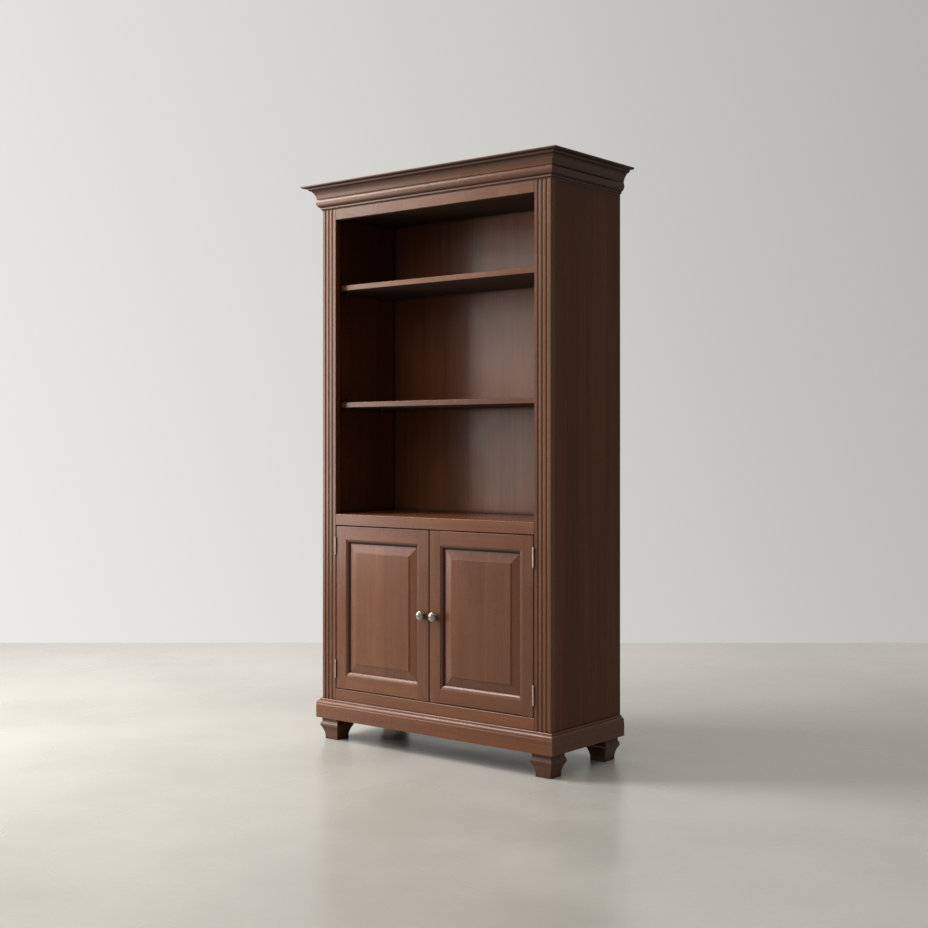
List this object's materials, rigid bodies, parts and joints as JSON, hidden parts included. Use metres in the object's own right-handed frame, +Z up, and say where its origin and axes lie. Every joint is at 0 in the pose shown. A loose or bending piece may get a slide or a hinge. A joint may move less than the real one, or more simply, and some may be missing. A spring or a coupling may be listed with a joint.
{
  "type": "bookcase with cabinet doors",
  "caption": "Tall wooden bookcase with crown cornice, fluted stiles, adjustable open shelves and a cabinet base with raised-panel doors on butt hinges, standing on block feet.",
  "frame": {"origin": "on the floor under the middle of the overall box", "axes": "+Z up, the front faces -Y, +X to the right as seen from the front"},
  "size_m": [1.034, 0.422, 1.83],
  "materials": {
    "stained_wood": "satin lacquer over a dark red-brown stain",
    "back_veneer": "satin lacquered veneer, dark red-brown",
    "plain_wood": "bare sawn softwood",
    "satin_nickel": "satin nickel, slightly darkened",
    "hinge_metal": "satin metal, slightly tarnished",
    "zinc_steel": "bright zinc plate",
    "catch_plastic": "matte brown moulded plastic"
  },
  "bodies": {
    "case": {"back_panel": "back_veneer", "back_panel_screws": "zinc_steel", "bottom_rail": "stained_wood", "case_bottom": "stained_wood", "case_top": "stained_wood", "corner_blocks": "plain_wood", "cornice_cap": "stained_wood", "cornice_front": "stained_wood", "cornice_left": "stained_wood", "cornice_right": "stained_wood", "fixed_shelf": "stained_wood", "foot_bolts": "zinc_steel", "foot_front_left": "stained_wood", "foot_front_right": "stained_wood", "foot_rear_left": "stained_wood", "foot_rear_right": "stained_wood", "frame_hinge_screws": "zinc_steel", "hinge_pins": "hinge_metal", "left_lower_hinge_frame_leaf": "hinge_metal", "left_pilaster": "stained_wood", "left_side_panel": "stained_wood", "left_upper_hinge_frame_leaf": "hinge_metal", "magnetic_catches": "catch_plastic", "middle_rail": "stained_wood", "plinth_front": "stained_wood", "plinth_left": "stained_wood", "plinth_right": "stained_wood", "rear_rail": "stained_wood", "right_lower_hinge_frame_leaf": "hinge_metal", "right_pilaster": "stained_wood", "right_side_panel": "stained_wood", "right_upper_hinge_frame_leaf": "hinge_metal", "shelf_pins": "zinc_steel", "top_rail": "stained_wood"},
    "left_door": {"left_door_bottom_rail": "stained_wood", "left_door_hinge_screws": "zinc_steel", "left_door_hinge_stile": "stained_wood", "left_door_knob": "satin_nickel", "left_door_knob_screw": "zinc_steel", "left_door_meeting_stile": "stained_wood", "left_door_panel": "stained_wood", "left_door_strike": "zinc_steel", "left_door_top_rail": "stained_wood", "left_lower_hinge_door_leaf": "hinge_metal", "left_upper_hinge_door_leaf": "hinge_metal"},
    "right_door": {"right_door_bottom_rail": "stained_wood", "right_door_hinge_screws": "zinc_steel", "right_door_hinge_stile": "stained_wood", "right_door_knob": "satin_nickel", "right_door_knob_screw": "zinc_steel", "right_door_meeting_stile": "stained_wood", "right_door_panel": "stained_wood", "right_door_strike": "zinc_steel", "right_door_top_rail": "stained_wood", "right_lower_hinge_door_leaf": "hinge_metal", "right_upper_hinge_door_leaf": "hinge_metal"},
    "shelf_upper": {"upper_shelf": "stained_wood"},
    "shelf_lower": {"lower_shelf": "stained_wood"},
    "shelf_cabinet": {"cabinet_shelf": "stained_wood"}
  },
  "joints": [
    {"name": "left_door_swing", "type": "hinge", "parent": "case", "child": "left_door", "pos_m": [-0.40275, -0.16185, 0.441], "axis": [0, 0, -1], "range_deg": [0, 170]},
    {"name": "right_door_swing", "type": "hinge", "parent": "case", "child": "right_door", "pos_m": [0.40275, -0.16185, 0.441], "axis": [0, 0, 1], "range_deg": [0, 170]},
    {"name": "upper_shelf_lift", "type": "slide", "parent": "case", "child": "shelf_upper", "axis": [0, 0, 1], "range_m": [0, 0.096]},
    {"name": "lower_shelf_lift", "type": "slide", "parent": "case", "child": "shelf_lower", "axis": [0, 0, 1], "range_m": [0, 0.096]},
    {"name": "cabinet_shelf_lift", "type": "slide", "parent": "case", "child": "shelf_cabinet", "axis": [0, 0, 1], "range_m": [0, 0.096]}
  ]
}
